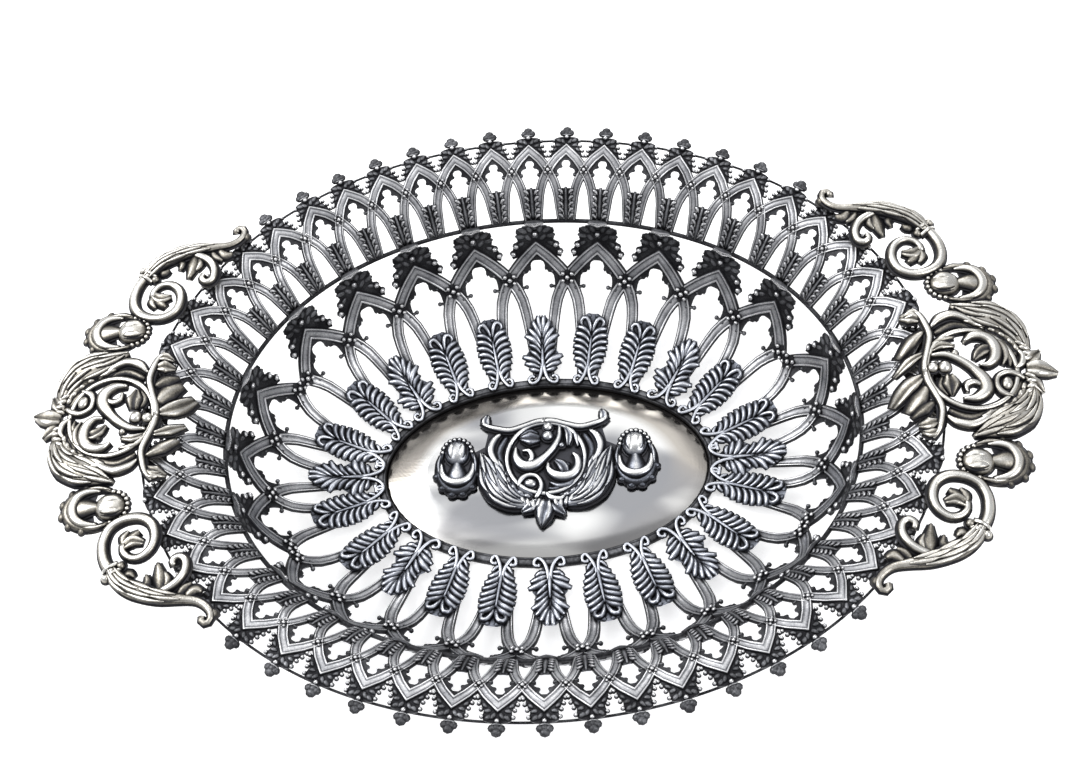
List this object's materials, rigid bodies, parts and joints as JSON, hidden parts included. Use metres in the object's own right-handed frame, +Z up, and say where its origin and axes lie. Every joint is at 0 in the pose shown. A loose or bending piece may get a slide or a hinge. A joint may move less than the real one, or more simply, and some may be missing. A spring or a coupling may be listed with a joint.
{
  "type": "centerpiece basket",
  "caption": "Oval openwork centrepiece basket with a flat base plate, crossing-bar bowl and flaring wall, and two foliate lug handles.",
  "frame": {"origin": "middle of the underside of the base plate, on the surface the basket stands on", "axes": "+Z up, +X along the length through both handles, +Y towards the far long side; the ornament on the plate points to -Y"},
  "size_m": [0.321, 0.2096, 0.06],
  "materials": {
    "polished_silver": "polished",
    "silver_wire": "satin, darkened in the joints",
    "tracery_cast_silver": "cast, satin with tarnish in the grooves",
    "leaf_cast_silver": "cast and chased, satin",
    "handle_cast_silver": "cast and chased, warm satin",
    "oxidised_cast_silver": "cast, bright on the high parts and oxidised in the low ones"
  },
  "bodies": {
    "root": {"acanthus_leaf_far_2": "leaf_cast_silver", "acanthus_leaf_far_5": "leaf_cast_silver", "acanthus_leaf_far_8": "leaf_cast_silver", "acanthus_leaf_left_2": "leaf_cast_silver", "acanthus_leaf_near_2": "leaf_cast_silver", "acanthus_leaf_near_5": "leaf_cast_silver", "acanthus_leaf_near_8": "leaf_cast_silver", "acanthus_leaf_right_2": "leaf_cast_silver", "base_frame": "silver_wire", "base_plate": "polished_silver", "centre_ornament": "oxidised_cast_silver", "left_handle_crest": "handle_cast_silver", "left_handle_far_scroll": "handle_cast_silver", "left_handle_leaf_spray": "handle_cast_silver", "left_handle_near_scroll": "handle_cast_silver", "lower_panel_far": "tracery_cast_silver", "lower_panel_left": "tracery_cast_silver", "lower_panel_near": "tracery_cast_silver", "lower_panel_right": "tracery_cast_silver", "palm_leaf_far_1": "leaf_cast_silver", "palm_leaf_far_3": "leaf_cast_silver", "palm_leaf_far_4": "leaf_cast_silver", "palm_leaf_far_6": "leaf_cast_silver", "palm_leaf_far_7": "leaf_cast_silver", "palm_leaf_far_9": "leaf_cast_silver", "palm_leaf_left_1": "leaf_cast_silver", "palm_leaf_left_3": "leaf_cast_silver", "palm_leaf_near_1": "leaf_cast_silver", "palm_leaf_near_3": "leaf_cast_silver", "palm_leaf_near_4": "leaf_cast_silver", "palm_leaf_near_6": "leaf_cast_silver", "palm_leaf_near_7": "leaf_cast_silver", "palm_leaf_near_9": "leaf_cast_silver", "palm_leaf_right_1": "leaf_cast_silver", "palm_leaf_right_3": "leaf_cast_silver", "right_handle_crest": "handle_cast_silver", "right_handle_far_scroll": "handle_cast_silver", "right_handle_leaf_spray": "handle_cast_silver", "right_handle_near_scroll": "handle_cast_silver", "rim_wire": "silver_wire", "shoulder_ring": "silver_wire", "upper_panel_far": "tracery_cast_silver", "upper_panel_left": "tracery_cast_silver", "upper_panel_near": "tracery_cast_silver", "upper_panel_right": "tracery_cast_silver"}
  },
  "joints": []
}
